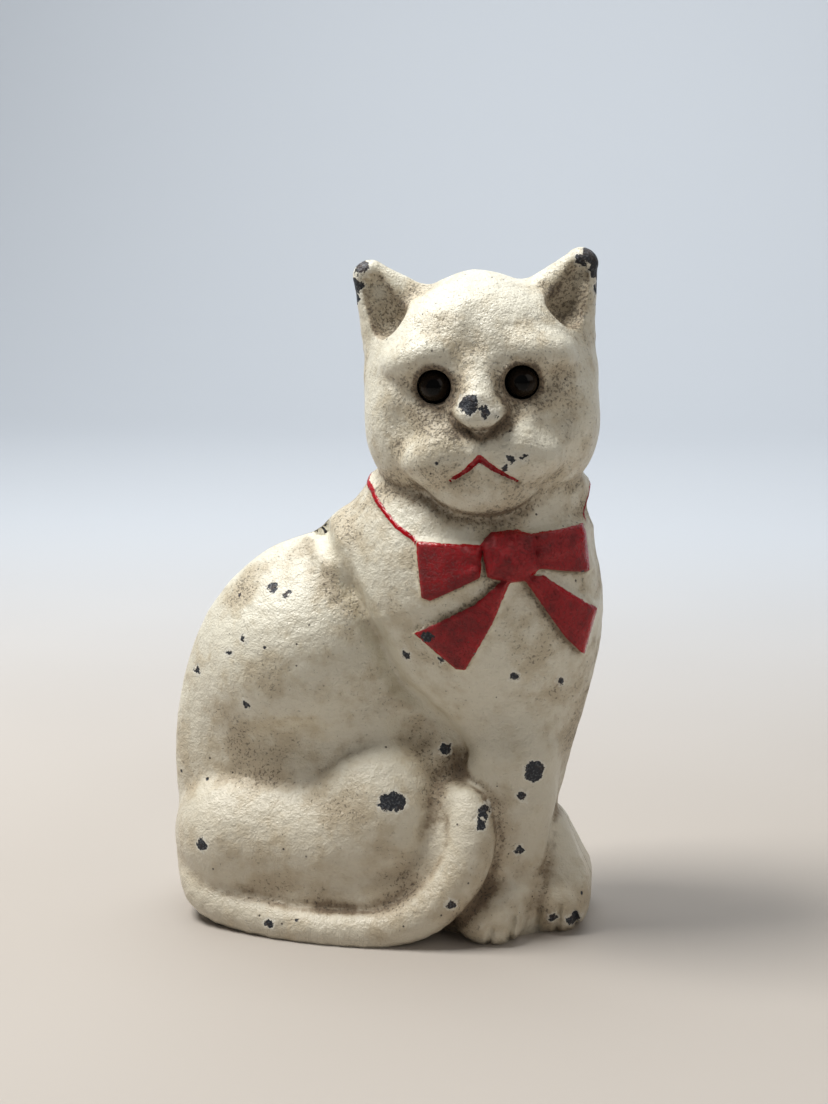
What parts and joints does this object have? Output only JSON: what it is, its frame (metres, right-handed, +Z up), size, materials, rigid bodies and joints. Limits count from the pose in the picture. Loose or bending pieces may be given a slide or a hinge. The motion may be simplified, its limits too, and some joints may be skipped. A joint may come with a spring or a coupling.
{
  "type": "still bank",
  "caption": "Seated cat coin bank cast in two hollow halves, closed by a slotted screw, with glass eyes and a relief bow on the chest.",
  "frame": {"origin": "centre of the bounding box on the plane of the base", "axes": "+Z up, +X the way the cat's body faces, -Y the face side"},
  "size_m": [0.0826, 0.0434, 0.1259],
  "materials": {
    "cream_enamel_front": "worn cream enamel on cast iron, red bow",
    "cream_enamel_back": "worn cream enamel on cast iron",
    "screw_steel": "darkened steel",
    "eye_glass": "dark brown glass, gloss",
    "eye_putty": "set putty, dull"
  },
  "bodies": {
    "front_casting": {"front_half": "cream_enamel_front", "eye_left": "eye_glass", "eye_right": "eye_glass", "eye_bed_left": "eye_putty", "eye_bed_right": "eye_putty"},
    "back_casting": {"back_half": "cream_enamel_back"},
    "screw": {"assembly_screw": "screw_steel"}
  },
  "joints": [
    {"name": "back_half_slide", "type": "slide", "parent": "front_casting", "child": "back_casting", "axis": [0, 1, 0], "range_m": [0, 0.05]},
    {"name": "screw_turn", "type": "hinge", "parent": "back_casting", "child": "screw", "pos_m": [-0.0101, 0, 0.046], "axis": [0, 1, 0], "continuous": true}
  ]
}
